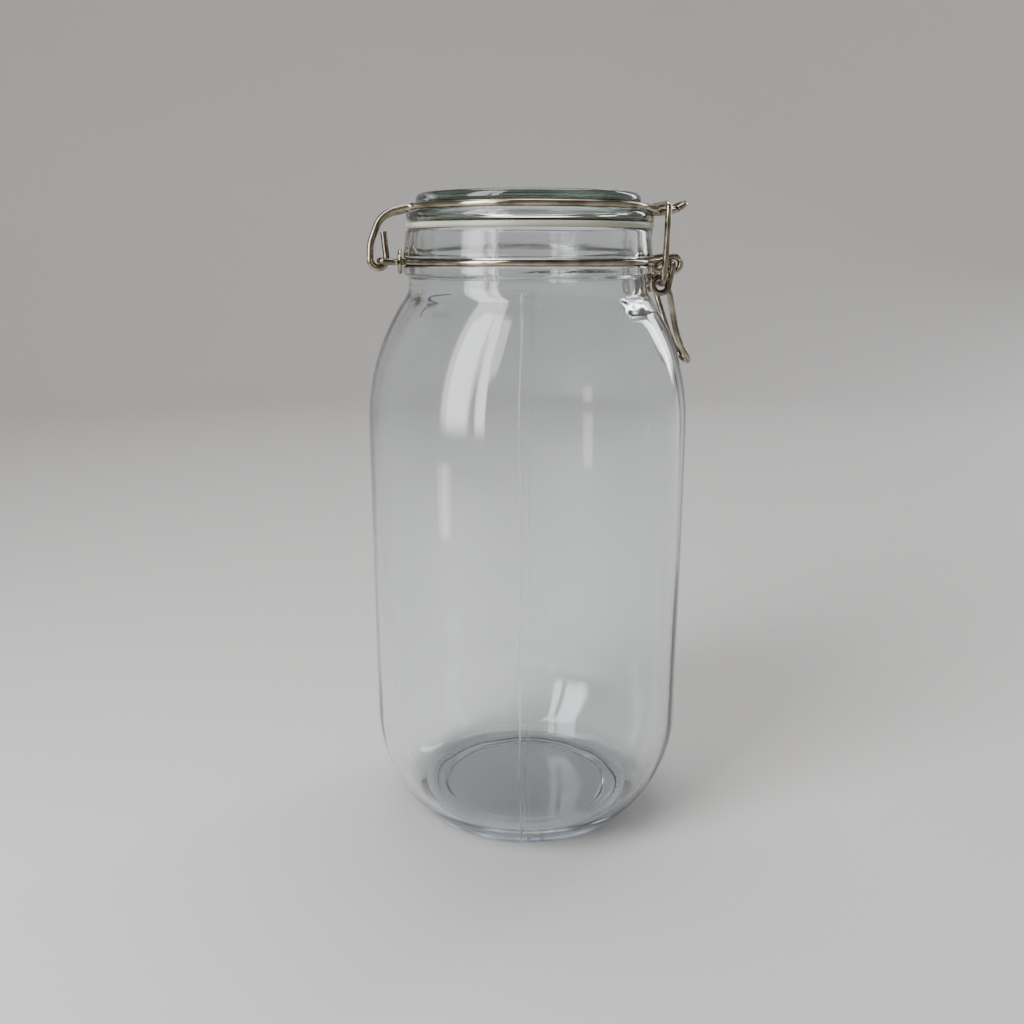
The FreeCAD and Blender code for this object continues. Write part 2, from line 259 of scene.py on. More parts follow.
def spaced(points, gap, fine_gap=None, fine_from=0.0, fine_to=0.0):
    """The outline with its long runs divided, more finely in one band of heights.

    Doubled points are left out."""
    found = [points[0]]
    for r, z in points[1:]:
        r0, z0 = found[-1]
        length = math.hypot(r - r0, z - z0)
        if length < 1e-6:
            continue
        fine = fine_gap and fine_from < (z + z0) / 2 < fine_to
        count = max(1, math.ceil(length / (fine_gap if fine else gap)))
        for i in range(1, count + 1):
            found.append((r0 + (r - r0) * i / count, z0 + (z - z0) * i / count))
    return found


def shoulder(neck_r, throat_bend, body_r):
    """Turn and radius of the round that leads from the body in to the throat."""
    rise = NECK_FOOT - BODY_TOP
    turn = 2 * math.atan((body_r - neck_r) / rise)
    return math.degrees(turn), rise / math.sin(turn) - throat_bend


def sweep_end():
    """Radius of the round foot's centre and height of the sweep's centre."""
    t = math.radians(SWEEP_TURN)
    foot_r = BODY_R - SWEEP_R + (SWEEP_R - FOOT_ROUND) * math.cos(t)
    sweep_z = FOOT_ROUND + (SWEEP_R - FOOT_ROUND) * math.sin(t)
    return foot_r, sweep_z


def jar_outside():
    """From the middle of the base, over the foot, the body and the finish, to the rim."""
    turn, round_r = shoulder(NECK_R, THROAT_BEND, BODY_R)
    foot_r, sweep_z = sweep_end()
    dome_r = (STAND_R ** 2 + PUNT_STEP ** 2) / (2 * PUNT_STEP)
    dome_z = PUNT_RISE - dome_r
    dome_turn = math.degrees(math.asin(PUNT_EDGE / dome_r))
    edge_z = dome_z + dome_r * math.cos(math.radians(dome_turn))
    points = arc(0, dome_z, dome_r, 90, 90 - dome_turn, 1.0)
    points += [(PUNT_EDGE + out, edge_z - down) for out, down in PUNT_EDGE_STEP]
    points += [(STAND_R + out, up) for out, up in STAND_EDGE]
    points += arc(foot_r, FOOT_ROUND, FOOT_ROUND, -90, -SWEEP_TURN, 7.0)
    points += arc(BODY_R - SWEEP_R, sweep_z, SWEEP_R, -SWEEP_TURN, 0, 2.5)
    points += arc(BODY_R - round_r, BODY_TOP, round_r, 0, turn, 2.0)
    points += arc(NECK_R + THROAT_BEND, NECK_FOOT, THROAT_BEND, 180 + turn, 180, 5.0)
    points += [(NECK_R, BEAD_FOOT - 0.6 * MM), (NECK_R + 0.6 * MM, BEAD_FOOT)]
    points += arc(BEAD_R - BEAD_ROUND, BEAD_FOOT + BEAD_ROUND, BEAD_ROUND, -90, 0, 12.0)
    points += [(BEAD_R, BAND_Z - GROOVE_R - GROOVE_FLARE)]
    points += arc(BAND_R, BAND_Z, GROOVE_R, 270, 90, 18.0)
    points.append((BEAD_R, BAND_Z + GROOVE_R + GROOVE_FLARE))
    points.append((BEAD_R, BAND_Z + GROOVE_R + 1.6 * MM))
    points += arc(RIM_R - RIM_ROUND, RIM_Z - RIM_ROUND, RIM_ROUND, 0, 90, 15.0)
    return points


def jar_inside():
    """From the rim, down the throat and the wall, to the middle of the floor."""
    body_r = BODY_R - WALL
    turn, round_r = shoulder(MOUTH_R, THROAT_BEND + WALL, body_r)
    sweep_z = sweep_end()[1]
    sweep_r = SWEEP_R - WALL
    floor_rise = (sweep_z - FLOOR - FLOOR_ROUND) / (sweep_r - FLOOR_ROUND)
    floor_turn = math.degrees(math.asin(floor_rise))
    floor_in = (sweep_r - FLOOR_ROUND) * math.cos(math.radians(floor_turn))
    floor_r = BODY_R - SWEEP_R + floor_in
    throat_r = THROAT_BEND + WALL
    points = arc(MOUTH_R + LIP_ROUND, RIM_Z - LIP_ROUND, LIP_ROUND, 90, 180, 15.0)
    points += arc(MOUTH_R + throat_r, NECK_FOOT, throat_r, 180, 180 + turn, 5.0)
    points += arc(body_r - round_r, BODY_TOP, round_r, turn, 0, 2.0)
    points += arc(BODY_R - SWEEP_R, sweep_z, sweep_r, 0, -floor_turn, 2.5)
    points += arc(floor_r, FLOOR + FLOOR_ROUND, FLOOR_ROUND, -floor_turn, -90, 5.0)
    points += [(floor_r - 3 * MM, FLOOR + 0.2 * MM), (0, FLOOR + PUNT_RISE * 0.6)]
    return points


def lid_outline():
    """From the middle of the top, over the crown, the groove and the flange, to the underside."""
    base = RIM_Z + GASKET - SQUEEZE
    flange_top = RIM_Z + GASKET + FLANGE
    flange_half = (FLANGE + SQUEEZE) / 2
    crown_foot = flange_top + WAIST
    crown_half = CROWN / 2
    dish = CROWN_R - crown_half - 8.0 * MM
    foot = base - SPIGOT_DEPTH
    points = [
        (0, LID_TOP - 0.5 * MM),
        (dish - 1.2 * MM, LID_TOP - 0.45 * MM),
        (dish, LID_TOP - 0.2 * MM),
    ]
    points += arc(CROWN_R - crown_half, crown_foot + crown_half, crown_half, 90, -75, 9.0)
    points += [
        (WAIST_R + 0.2 * MM, crown_foot + 0.1 * MM),
        (WAIST_R, crown_foot - 0.5 * MM),
        (WAIST_R, flange_top + 1.0 * MM),
        (WAIST_R + 0.5 * MM, flange_top + 0.4 * MM),
        (WAIST_R + 1.4 * MM, flange_top + 0.1 * MM),
    ]
    points += arc(FLANGE_R - flange_half, base + flange_half, flange_half, 90, -90, 9.0)
    points += [(SPIGOT_R + 0.8 * MM, base), (SPIGOT_R + 0.2 * MM, base - 0.4 * MM)]
    points += arc(SPIGOT_R - SPIGOT_ROUND, foot + SPIGOT_ROUND, SPIGOT_ROUND, 0, -90, 15.0)
    points += arc(SPIGOT_INNER_R + SPIGOT_ROUND, foot + SPIGOT_ROUND, SPIGOT_ROUND, -90, -180, 15.0)
    points += arc(SPIGOT_INNER_R - LID_HOLLOW, base + SQUEEZE, LID_HOLLOW, 0, 90, 12.0)
    points.append((0, base + SQUEEZE + LID_HOLLOW + 0.5 * MM))
    return points


def gasket_outline():
    """The closed section of the squeezed ring."""
    r = GASKET_ROUND
    inner = GASKET_INNER_ROUND
    low, high = RIM_Z, RIM_Z + GASKET - SQUEEZE
    points = arc(GASKET_R - r, low + r, r, -90, 0, 15.0)
    points += arc(GASKET_R - r, high - r, r, 0, 90, 15.0)
    points += arc(GASKET_HOLE_R + inner, high - inner, inner, 90, 180, 22.0)
    points += arc(GASKET_HOLE_R + inner, low + inner, inner, 180, 270, 22.0)
    return points


# ---------- turned pieces ----------

def soft_noise(x, y, z, seed):
    return noise.noise(Vector((x, y, z + seed * 17.3)))


def ramp(value, start, end):
    """A soft step from 0 to 1."""
    t = np.clip((value - start) / (end - start), 0, 1)
    return t * t * (3 - 2 * t)


def fade(value, start, full, wane, end):
    """A soft rise from 0 to 1 and a soft fall back to 0."""
    return ramp(value, start, full) * (1 - ramp(value, wane, end))


def away_from(turn, middle):
    """Angle of each meridian from a middle one, -180 to 180 degrees."""
    return (np.degrees(turn) - middle + 180) % 360 - 180


def turned_mesh(name, outline, angles, shape=None, ring=False):
    """A surface of revolution; shape may move each point's radius and height.

    The outline runs from the axis back to the axis, or, for a ring, round a closed section."""
    radius = np.array([p[0] for p in outline])
    height = np.array([p[1] for p in outline])
    turn = np.radians(np.array(angles))
    grid_r = np.tile(radius, (len(turn), 1))
    grid_z = np.tile(height, (len(turn), 1))
    if shape:
        grid_r, grid_z = shape(grid_r, grid_z, turn)
    x = grid_r * np.cos(turn)[:, None]
    y = grid_r * np.sin(turn)[:, None]
    points = []
    index = np.zeros(grid_r.shape, int)
    for j in range(len(outline)):
        if radius[j] < 1e-9:
            index[:, j] = len(points)
            points.append((0.0, 0.0, float(grid_z[0, j])))
            continue
        for i in range(len(turn)):
            index[i, j] = len(points)
            points.append((float(x[i, j]), float(y[i, j]), float(grid_z[i, j])))
    faces = []
    rows = len(outline)
    for i in range(len(turn)):
        n = (i + 1) % len(turn)
        for j in range(rows if ring else rows - 1):
            k = (j + 1) % rows
            corners = [index[i, j], index[n, j], index[n, k], index[i, k]]
            unique = list(dict.fromkeys(int(c) for c in corners))
            if len(unique) > 2:
                faces.append(unique)
    mesh = bpy.data.meshes.new(name)
    mesh.from_pydata(points, [], faces)
    mesh.update()
    if signed_volume(mesh) < 0:
        mesh.flip_normals()
    mesh.polygons.foreach_set("use_smooth", [True] * len(mesh.polygons))
    piece = bpy.data.objects.new(name, mesh)
    bpy.context.scene.collection.objects.link(piece)
    return piece


def signed_volume(mesh):
    """Above zero where the faces point outwards."""
    mesh.calc_loop_triangles()
    total = 0.0
    for tri in mesh.loop_triangles:
        a, b, c = (mesh.vertices[i].co for i in tri.vertices)
        total += a.dot(b.cross(c))
    return total


def even_angles(count):
    return [360.0 * i / count for i in range(count)]


def seamed_angles(count, seams):
    """Even meridians, with close ones added beside each mould seam."""
    fine = SEAM_ANGLE_STEP
    found = set(round(a, 4) for a in even_angles(count))
    for seam in seams:
        for i in range(-SEAM_ANGLE_STEPS, SEAM_ANGLE_STEPS + 1):
            found.add(round((seam + i * fine) % 360.0, 4))
    ordered = sorted(found)
    kept = [ordered[0]]
    for a in ordered[1:]:
        if a - kept[-1] > fine * 0.55:
            kept.append(a)
    return kept


def seam_ridge(radius, height, turn, seams, wander):
    """Height of the thin ridge that the mould's halves leave."""
    ridge = np.zeros_like(radius)
    for seam in seams:
        away = (turn - math.radians(seam) + math.pi) % (2 * math.pi) - math.pi
        across = radius * away[:, None]
        if wander:
            across = across - 0.35 * MM * np.sin(height * 95.0) * np.sin(height * 41.0 + 1.0)
        inside = np.clip(1 - (across / SEAM_HALF) ** 2, 0, 1)
        ridge = np.maximum(ridge, SEAM_HEIGHT * np.sqrt(inside))
    return ridge


def lug_relief(radius, height, turn):
    """How far the lugs' sloping faces stand out of the throat."""
    slope = (LUG_FOOT[0] - LUG_TOP[0]) / (LUG_TOP[1] - LUG_FOOT[1])
    face = LUG_TOP[0] + slope * (LUG_TOP[1] - height) - LUG_SINK
    up = fade(height, LUG_FOOT[1] - 0.5 * MM, LUG_FOOT[1] + 1.3 * MM,
              LUG_TOP[1] - 1.8 * MM, LUG_TOP[1] + 0.6 * MM)
    relief = np.zeros_like(radius)
    for middle in LUG_ANGLES:
        across = 1 - ramp(np.abs(away_from(turn, middle)), LUG_HALF - 3.0, LUG_HALF + 0.6)
        relief += np.maximum(0, face - radius) * across[:, None] * up
    return relief


def knurl_relief(radius, height, turn):
    """Rise of the fine notches round the ring that the jar stands on."""
    stands = (height < 0.05 * MM) * (radius > STAND_R - 0.4 * MM) * (radius < STAND_R + 2.6 * MM)
    return stands * KNURL_DEPTH * (0.5 - 0.5 * np.cos(KNURLS * turn))[:, None]


def ripple(height, turn, where, waves):
    """Slow waves of the glass, as strong as the mask says."""
    moved = np.zeros_like(height)
    for i, a in enumerate(turn):
        x, y = math.cos(a), math.sin(a)
        for j in np.nonzero(where[i] > 0.001)[0]:
            z = height[i, j]
            for depth, circle, pitch, offset, seed in waves:
                wave = soft_noise(circle * x, circle * y, z * pitch, seed) + offset
                moved[i, j] += where[i, j] * depth * wave
    return moved


def mark_dull_glass(piece):
    """Stores where the outside is duller: the seams most, then the lugs and the finish."""
    mesh = piece.data
    place = np.empty(len(mesh.vertices) * 3)
    facing = np.empty(len(mesh.vertices) * 3)
    mesh.vertices.foreach_get("co", place)
    mesh.vertices.foreach_get("normal", facing)
    place, facing = place.reshape(-1, 3), facing.reshape(-1, 3)
    x, y, z = place.T
    turn = np.arctan2(y, x)
    outward = x * facing[:, 0] + y * facing[:, 1] > 0
    radius, height = np.hypot(x, y)[:, None], place[:, 2:3]
    seams = seam_ridge(radius, height, turn, BODY_SEAMS, True) * (height < 219 * MM)
    seams += seam_ridge(radius, height, turn, FINISH_SEAMS, False) * (height > 222 * MM)
    haze = FINISH_HAZE * fade(z, BAND_Z + 1.5 * MM, BAND_Z + 4 * MM, RIM_Z - 2 * MM, RIM_Z)
    up = fade(z, LUG_FOOT[1] - 2 * MM, LUG_FOOT[1], LUG_TOP[1], LUG_TOP[1] + 2 * MM)
    for middle in LUG_ANGLES:
        across = 1 - ramp(np.abs(away_from(turn, middle)), LUG_HALF, LUG_HALF + 1.5)
        haze = np.maximum(haze, LUG_HAZE * across * up)
    strength = outward * np.maximum(seams[:, 0] / SEAM_HEIGHT, haze)
    stored = mesh.attributes.new("dull", "FLOAT", "POINT")
    stored.data.foreach_set("value", strength.astype(np.float32))


def jar_piece():
    outside = spaced(jar_outside(), LONG_GAP, *OUTSIDE_FINE)
    inside = spaced(jar_inside(), LONG_GAP, *INSIDE_FINE)
    outline = outside + inside
    outer = np.arange(len(outline)) < len(outside)
    inner = ~outer

    def shape(radius, height, turn):
        body = fade(height, 4 * MM, 12 * MM, 217 * MM, 221 * MM)
        finish = fade(height, 222 * MM, 224 * MM, RIM_Z - 2 * MM, RIM_Z)
        wall = fade(height, 12 * MM, 30 * MM, 205 * MM, 222 * MM)
        rim = fade(height, BAND_Z + 2.0 * MM, BAND_Z + 3.4 * MM, RIM_Z - 2.6 * MM, RIM_Z - MM)
        throat = fade(height, 212 * MM, 220 * MM, RIM_Z - 6 * MM, RIM_Z - 2 * MM)
        seams = body * seam_ridge(radius, height, turn, BODY_SEAMS, True)
        seams += finish * seam_ridge(radius, height, turn, FINISH_SEAMS, False)
        new_r = radius + outer * (seams + lug_relief(radius, height, turn))
        new_r += ripple(height, turn, wall * outer, OUTSIDE_RIPPLE)
        new_r += ripple(height, turn, wall * inner, INSIDE_RIPPLE)
        new_r += ripple(height, turn, rim * outer, FINISH_RIPPLE)
        new_r += ripple(height, turn, throat * inner, THROAT_RIPPLE)
        return new_r, height + outer * knurl_relief(radius, height, turn)

    angles = seamed_angles(JAR_MERIDIANS, BODY_SEAMS + FINISH_SEAMS)
    piece = turned_mesh("glass_jar", outline, angles, shape)
    mark_dull_glass(piece)
    return piece


def lid_piece():
    outline = spaced(lid_outline(), 2.5 * MM)

    def shape(radius, height, turn):
        new_z = height.copy()
        for i, a in enumerate(turn):
            for j in range(radius.shape[1]):
                r = radius[i, j]
                if 1e-6 < r < CROWN_R - 4 * MM:
                    x, y = polar(r * LID_WAVE_PITCH, math.degrees(a))
                    wave = soft_noise(x, y, height[i, j] * 40, 4)
                    new_z[i, j] += LID_WAVE * wave * min(1.0, r / (6 * MM))
        return radius, new_z

    return turned_mesh("glass_lid", outline, even_angles(LID_MERIDIANS), shape)


def gasket_piece():
    def shape(radius, height, turn):
        edge = (radius > GASKET_R - 2 * MM)
        wobble = 0.12 * MM * np.cos(3 * turn) + 0.08 * MM * np.cos(7 * turn)
        lip = GASKET_LIP * np.maximum(0, np.cos(turn)) ** 8
        return radius + edge * (wobble + GASKET_BULGE + lip)[:, None], height

    angles = even_angles(GASKET_MERIDIANS)
    piece = turned_mesh("rubber_ring", gasket_outline(), angles, shape, ring=True)
    for vertex in piece.data.vertices:
        vertex.co.x += GASKET_SHIFT
    return piece


# ---------- wires ----------

def ring_corners(radius, z, first, last, count):
    """Corners whose rounded path is an arc round the jar's axis."""
    step = (last - first) / count
    far = radius / math.cos(math.radians(step / 2))
    found = []
    for i in range(count):
        x, y = polar(far, first + step * (i + 0.5))
        found.append(((x, y, z), radius))
    return found


def coil_corners(centre, radius, first, last, count, y_first, y_last):
    """The same round an axis along Y, moving sideways on the way."""
    step = (last - first) / count
    far = radius / math.cos(math.radians(step / 2))
    found = []
    for i in range(count):
        dx, dz = polar(far, first + step * (i + 0.5))
        y = y_first + (y_last - y_first) * i / (count - 1)
        found.append(((centre[0] + dx, y, centre[1] + dz), radius * 0.985))
    return found


def run_out(radius, lead, y):
    """Where the tangent that leaves a ring at an angle reaches a distance from the middle."""
    a = math.radians(lead)
    return (radius - y * math.sin(a)) / math.cos(a)


def side_corners(listed, y):
    """Corners at one distance from the middle plane, from (x, z, bend) in millimetres."""
    return [((x * MM, y, z * MM), bend * MM) for x, z, bend in listed]


def both_sides(half):
    """The half on +Y, with its mirror image before it."""
    other = [((p[0], -p[1], p[2]), bend) for p, bend in reversed(half)]
    return other + half


def bail_corners():
    z = RIM_Z + GASKET + FLANGE + WIRE / 2 + 0.05 * MM
    half = [((NOSE_TIP[0], NOSE_Y, NOSE_TIP[1]), NOSE_ROUND)]
    half += side_corners(reversed(NOSE_DIP), NOSE_Y)
    half.append(((run_out(BAIL_R, NOSE_LEAD, NOSE_Y), NOSE_Y, z), 4.0 * MM))
    half += ring_corners(BAIL_R, z, NOSE_LEAD, 180 - BAIL_ARM_LEAD, 2)
    half.append(((-run_out(BAIL_R, BAIL_ARM_LEAD, BAIL_ARM_Y), BAIL_ARM_Y, z), 3.5 * MM))
    half += side_corners(BAIL_HOOK, BAIL_ARM_Y)
    half.append(((BAIL_HOOK_TIP[0], BAIL_ARM_Y, BAIL_HOOK_TIP[1]), 0.0))
    return both_sides(half)


def band_corners():
    half = [
        ((HINGE_X, HINGE_HALF, HINGE_Z), BIGHT_ROUND),
        ((BIGHT_X, HINGE_HALF, BAND_Z), BIGHT_ROUND),
        ((BIGHT_X, BAND_GAP_Y, BAND_Z), BIGHT_ROUND),
        ((-run_out(BAND_R, COLLAR_LEAD, BAND_GAP_Y), BAND_GAP_Y, BAND_Z), BIGHT_ROUND),
    ]
    half += ring_corners(BAND_R, BAND_Z, 180 - COLLAR_LEAD, EYE_LEAD, 2)
    half.append(((run_out(BAND_R, EYE_LEAD, EYE_Y), EYE_Y, BAND_Z), 2.2 * MM))
    half.append(((BEAD_R + 1.7 * MM, EYE_Y, BAND_Z), 1.6 * MM))
    half += coil_corners(EYE, EYE_R, EYE_START, EYE_END, 4, EYE_Y, EYE_Y)
    dx, dz = polar(EYE_R, EYE_END)
    ex, ez = polar(0.4 * MM, EYE_END - 90)
    half.append(((EYE[0] + dx + ex, EYE_Y, EYE[1] + dz + ez), 0.0))
    return both_sides(half)


def lever_corners():
    away = math.atan2(PIVOT[1] - COIL[1], PIVOT[0] - COIL[0])
    enter = math.degrees(away - math.acos(COIL_R / math.dist(PIVOT, COIL)))
    half = [((HANDLE_TIP[0], HANDLE_TIP_Y, HANDLE_TIP[1]), HANDLE_ROUND)]
    half += [((x * MM, y * MM, z * MM), bend * MM) for x, y, z, bend in reversed(HANDLE)]
    half += coil_corners(COIL, COIL_R, COIL_EXIT, enter + 360, 5, INNER_Y, OUTER_Y)
    half.append(((PIVOT[0], OUTER_Y, PIVOT[1]), PIN_ROUND))
    half.append(((PIVOT[0], PIN_END_Y, PIVOT[1]), 0.0))
    return both_sides(half)


def link_corners():
    bar_z = NOSE_DIP[0][1] * MM + WIRE + BAR_PLAY
    half = [
        ((BAR_X, BAR_Y, bar_z), LINK_ROUND),
        ((LINK_NECK[0], LINK_Y, LINK_NECK[1]), LINK_NECK_BEND),
        ((CRANK[0], LINK_Y, CRANK[1]), PIN_ROUND),
        ((CRANK[0], LINK_PIN_END_Y, CRANK[1]), 0.0),
    ]
    return both_sides(half)


def bent_wire_tree():
    """Geometry Nodes: a path with rounded corners, a round section along it, closed ends."""
    tree = bpy.data.node_groups.new("bent wire", "GeometryNodeTree")
    face = tree.interface
    face.new_socket("Path", in_out="INPUT", socket_type="NodeSocketGeometry")
    for label, kind in (("Diameter", "NodeSocketFloat"), ("Sides", "NodeSocketInt"),
                        ("Finish", "NodeSocketMaterial")):
        face.new_socket(label, in_out="INPUT", socket_type=kind)
    face.new_socket("Wire", in_out="OUTPUT", socket_type="NodeSocketGeometry")
    nodes, links = tree.nodes, tree.links
    given = nodes.new("NodeGroupInput")
    out = nodes.new("NodeGroupOutput")

    def named(name, kind):
        node = nodes.new("GeometryNodeInputNamedAttribute")
        node.data_type = kind
        node.inputs["Name"].default_value = name
        return node.outputs["Attribute"]

    def stored(geometry, name, kind, value, domain="POINT"):
        node = nodes.new("GeometryNodeStoreNamedAttribute")
        node.data_type = kind
        node.domain = domain
        node.inputs["Name"].default_value = name
        links.new(geometry, node.inputs["Geometry"])
        links.new(value, node.inputs["Value"])
        return node.outputs["Geometry"]

    curve = nodes.new("GeometryNodeMeshToCurve")
    links.new(given.outputs["Path"], curve.inputs["Mesh"])
    rounded = nodes.new("GeometryNodeFilletCurve")
    rounded.mode = "POLY"
    links.new(curve.outputs["Curve"], rounded.inputs["Curve"])
    links.new(named("bend", "FLOAT"), rounded.inputs["Radius"])
    links.new(named("steps", "INT"), rounded.inputs["Count"])
    thin = nodes.new("GeometryNodeSetCurveRadius")
    links.new(rounded.outputs["Curve"], thin.inputs["Curve"])
    links.new(named("thick", "FLOAT"), thin.inputs["Radius"])
    normal = nodes.new("GeometryNodeSetCurveNormal")
    links.new(thin.outputs["Curve"], normal.inputs["Curve"])
    along = nodes.new("GeometryNodeSplineParameter")
    path = stored(normal.outputs["Curve"], "along", "FLOAT", along.outputs["Length"])

    half = nodes.new("ShaderNodeMath")
    half.operation = "MULTIPLY"
    half.inputs[1].default_value = 0.5
    links.new(given.outputs["Diameter"], half.inputs[0])
    section = nodes.new("GeometryNodeCurvePrimitiveCircle")
    section.mode = "RADIUS"
    links.new(given.outputs["Sides"], section.inputs["Resolution"])
    links.new(half.outputs[0], section.inputs["Radius"])
    place = nodes.new("GeometryNodeInputPosition")
    facing = nodes.new("ShaderNodeVectorMath")
    facing.operation = "NORMALIZE"
    links.new(place.outputs["Position"], facing.inputs[0])
    ring = stored(section.outputs["Curve"], "round", "FLOAT_VECTOR", facing.outputs["Vector"])

    swept = nodes.new("GeometryNodeCurveToMesh")
    swept.inputs["Fill Caps"].default_value = True
    links.new(path, swept.inputs["Curve"])
    links.new(ring, swept.inputs["Profile Curve"])
    real = nodes.new("GeometryNodeRealizeInstances")
    links.new(swept.outputs["Mesh"], real.inputs["Geometry"])
    finish = nodes.new("GeometryNodeSetMaterial")
    links.new(real.outputs["Geometry"], finish.inputs["Geometry"])
    links.new(given.outputs["Finish"], finish.inputs["Material"])
    links.new(finish.outputs["Geometry"], out.inputs["Wire"])
    return tree


def add_corner_data(mesh, corners):
    """Bend radius, number of bend steps and thickness of each corner, as point attributes."""
    for name, kind in (("bend", "FLOAT"), ("steps", "INT"), ("thick", "FLOAT")):
        mesh.attributes.new(name, kind, "POINT")
    bend, steps, thick = (mesh.attributes[name] for name in ("bend", "steps", "thick"))
    last = len(corners) - 1
    for i, (point, radius) in enumerate(corners):
        count = 2
        if 0 < i < last and radius > 0:
            here = Vector(point)
            back = Vector(corners[i - 1][0]) - here
            ahead = Vector(corners[i + 1][0]) - here
            turn = math.pi - back.angle(ahead)
            count = max(4, round(math.degrees(turn) / (1.6 if radius > 20 * MM else 8.0)))
        bend.data[i].value = radius
        steps.data[i].value = count
        thick.data[i].value = 1.0


def with_cut_ends(corners):
    """The path with a short last stretch at each end, where the cut wire is dressed round."""
    def stretch(end, before):
        end, before = Vector(end), Vector(before)
        return tuple(end + (before - end).normalized() * CUT_END)

    first, last = corners[0], corners[-1]
    near_first = (stretch(first[0], corners[1][0]), 0.0)
    near_last = (stretch(last[0], corners[-2][0]), 0.0)
    return [first, near_first] + corners[1:-1] + [near_last, last]


def wire_piece(name, corners, tree, finish, diameter, closed):
    """One bent wire, as a plain mesh; a closed one has no cut ends."""
    if not closed:
        corners = with_cut_ends(corners)
    mesh = bpy.data.meshes.new(name)
    count = len(corners)
    edges = [(i, i + 1) for i in range(count - 1)]
    if closed:
        edges.append((count - 1, 0))
    mesh.from_pydata([c[0] for c in corners], edges, [])
    add_corner_data(mesh, corners)
    if not closed:
        for i in (0, count - 1):
            mesh.attributes["thick"].data[i].value = CUT_END_THICKNESS
    bare = bpy.data.objects.new(name + "_path", mesh)
    bpy.context.scene.collection.objects.link(bare)
    modifier = bare.modifiers.new("wire", "NODES")
    modifier.node_group = tree
    values = {"Diameter": diameter, "Sides": WIRE_SIDES, "Finish": finish}
    for item in tree.interface.items_tree:
        if item.in_out == "INPUT" and item.name in values:
            modifier[item.identifier] = values[item.name]
    seen = bpy.context.evaluated_depsgraph_get()
    made = bpy.data.meshes.new_from_object(
        bare.evaluated_get(seen), preserve_all_data_layers=True, depsgraph=seen)
    bpy.data.objects.remove(bare)
    made.name = name
    if signed_volume(made) < 0:
        made.flip_normals()
    made.polygons.foreach_set("use_smooth", [len(p.vertices) == 4 for p in made.polygons])
    piece = bpy.data.objects.new(name, made)
    bpy.context.scene.collection.objects.link(piece)
    return piece


def collar_corners():
    """A closed ring round the band's two strands."""
    found = []
    for angle in even_angles(COLLAR_STEPS):
        y, z = polar(COLLAR_R, angle)
        found.append(((COLLAR_X, y, BAND_Z + z), 0.0))
    return found


# ---------- materials ----------

def new_material(name):
    material = bpy.data.materials.new(name)
    material.use_nodes = True
    nodes = material.node_tree.nodes
    return material, nodes, material.node_tree.links, nodes["Principled BSDF"]


def add_noise(nodes, links, place, scale, detail):
    """A cloudy value over a piece."""
    cloud = nodes.new("ShaderNodeTexNoise")
    cloud.inputs["Scale"].default_value = scale
    cloud.inputs["Detail"].default_value = detail
    links.new(place, cloud.inputs["Vector"])
    return cloud.outputs["Fac"]


def add_roughness(nodes, links, value, values, roughness, shader):
    """Roughness that goes between two amounts as a value goes between two others."""
    rough = nodes.new("ShaderNodeMapRange")
    rough.inputs["From Min"].default_value, rough.inputs["From Max"].default_value = values
    rough.inputs["To Min"].default_value, rough.inputs["To Max"].default_value = roughness
    links.new(value, rough.inputs["Value"])
    links.new(rough.outputs["Result"], shader.inputs["Roughness"])


def add_tones(nodes, links, value, places, dark, light, shader):
    """A base colour that goes from a dark tone to a light one between two places on a value."""
    colour = nodes.new("ShaderNodeValToRGB")
    for element, place, tone in zip(colour.color_ramp.elements, places, (dark, light)):
        element.position = place
        element.color = tone
    links.new(value, colour.inputs["Fac"])
    links.new(colour.outputs["Color"], shader.inputs["Base Color"])


def add_relief(nodes, links, height, strength, distance, shader):
    """Fine relief on the shader's normal."""
    relief = nodes.new("ShaderNodeBump")
    relief.inputs["Strength"].default_value = strength
    relief.inputs["Distance"].default_value = distance
    links.new(height, relief.inputs["Height"])
    links.new(relief.outputs["Normal"], shader.inputs["Normal"])


def glass_skin_group():
    """Fire-polished glass: a height that ripples slowly, and a faint mask of handling marks."""
    group = bpy.data.node_groups.new("glass skin", "ShaderNodeTree")
    face = group.interface
    face.new_socket("Ripple Size", in_out="INPUT", socket_type="NodeSocketFloat")
    face.new_socket("Mark Amount", in_out="INPUT", socket_type="NodeSocketFloat")
    face.new_socket("Height", in_out="OUTPUT", socket_type="NodeSocketFloat")
    face.new_socket("Roughness", in_out="OUTPUT", socket_type="NodeSocketFloat")
    nodes, links = group.nodes, group.links
    given = nodes.new("NodeGroupInput")
    out = nodes.new("NodeGroupOutput")
    place = nodes.new("ShaderNodeTexCoord")
    stretch = nodes.new("ShaderNodeMapping")
    stretch.inputs["Scale"].default_value = (1.0, 1.0, 0.35)
    links.new(place.outputs["Object"], stretch.inputs["Vector"])
    ripple = nodes.new("ShaderNodeTexNoise")
    ripple.inputs["Detail"].default_value = 1.5
    ripple.inputs["Roughness"].default_value = 0.4
    links.new(stretch.outputs["Vector"], ripple.inputs["Vector"])
    links.new(given.outputs["Ripple Size"], ripple.inputs["Scale"])
    links.new(ripple.outputs["Fac"], out.inputs["Height"])
    marks = add_noise(nodes, links, place.outputs["Object"], 60.0, 5.0)
    spread = nodes.new("ShaderNodeMapRange")
    spread.inputs["From Min"].default_value = 0.52
    spread.inputs["From Max"].default_value = 0.72
    links.new(marks, spread.inputs["Value"])
    links.new(given.outputs["Mark Amount"], spread.inputs["To Max"])
    links.new(spread.outputs["Result"], out.inputs["Roughness"])
    return group


